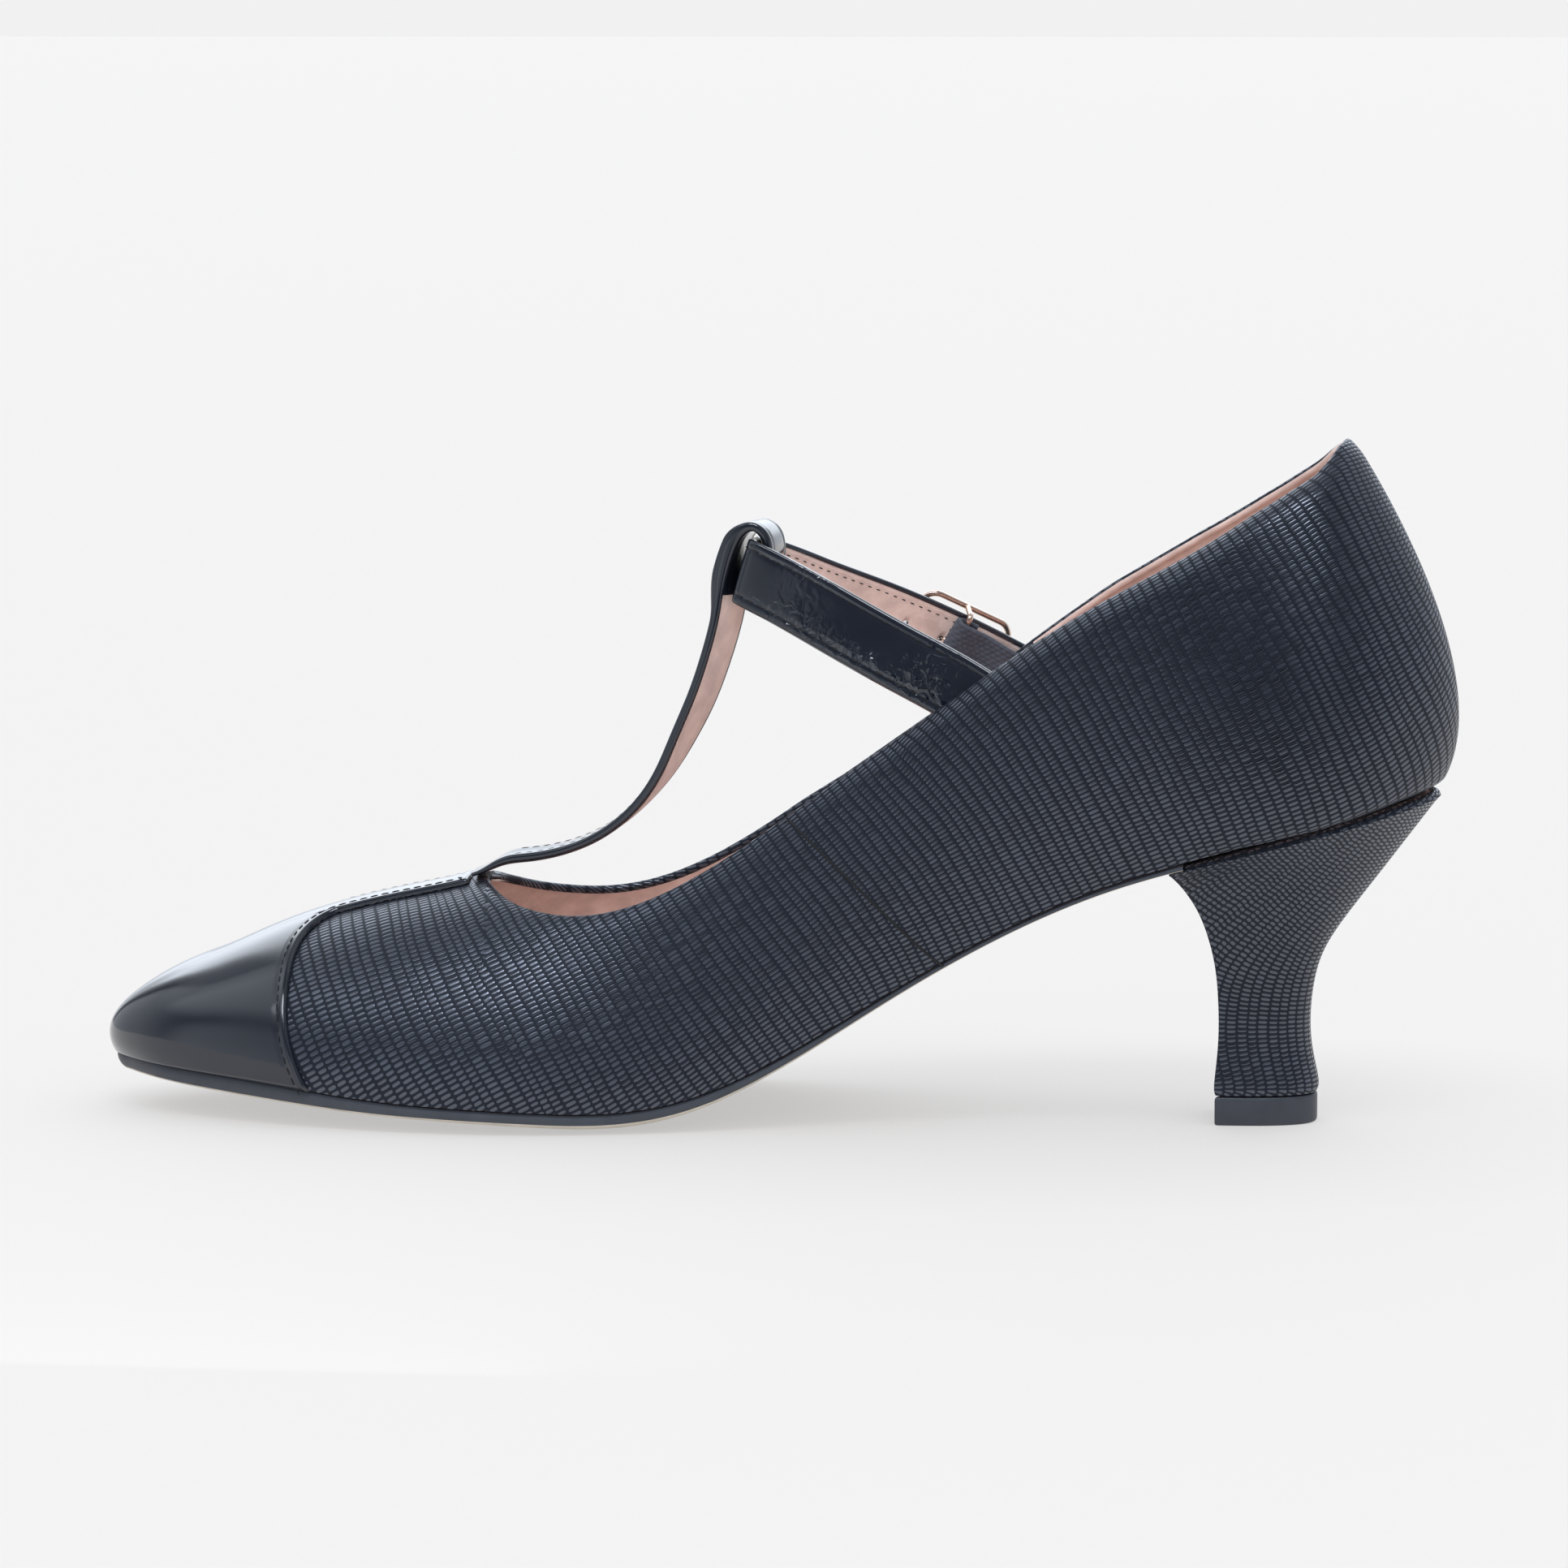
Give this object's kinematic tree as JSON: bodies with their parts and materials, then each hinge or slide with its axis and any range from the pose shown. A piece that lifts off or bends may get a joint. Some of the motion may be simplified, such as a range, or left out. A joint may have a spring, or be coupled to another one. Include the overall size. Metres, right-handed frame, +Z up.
{
  "type": "t-strap mary jane pump",
  "caption": "Right-foot mary jane pump with a pointed patent toe cap, a T-shaped instep strap, a buckled ankle strap and a curved mid-height heel.",
  "frame": {"origin": "centre of the bounding box's bottom face, on the floor the shoe stands on", "axes": "-X towards the toe, +X towards the heel, -Y the inner side, +Y the outer side with the buckle, +Z up"},
  "size_m": [0.2471, 0.0746, 0.1244],
  "materials": {
    "embossed_leather": "satin, embossed with rows of small dashes",
    "patent_leather": "high gloss",
    "lining_leather": "matt",
    "sole_leather": "satin edge, matt underside",
    "top_lift_rubber": "satin",
    "elastic": "woven",
    "buckle_metal": "polished rose gold"
  },
  "bodies": {
    "root": {"upper": "embossed_leather", "outsole": "sole_leather", "insole": "lining_leather", "heel": "embossed_leather", "top_lift": "top_lift_rubber", "toe_cap": "patent_leather", "t_strap": "patent_leather", "ankle_strap": "patent_leather", "elastic_tab": "elastic", "buckle_frame": "buckle_metal", "buckle_prong": "buckle_metal"}
  },
  "joints": []
}
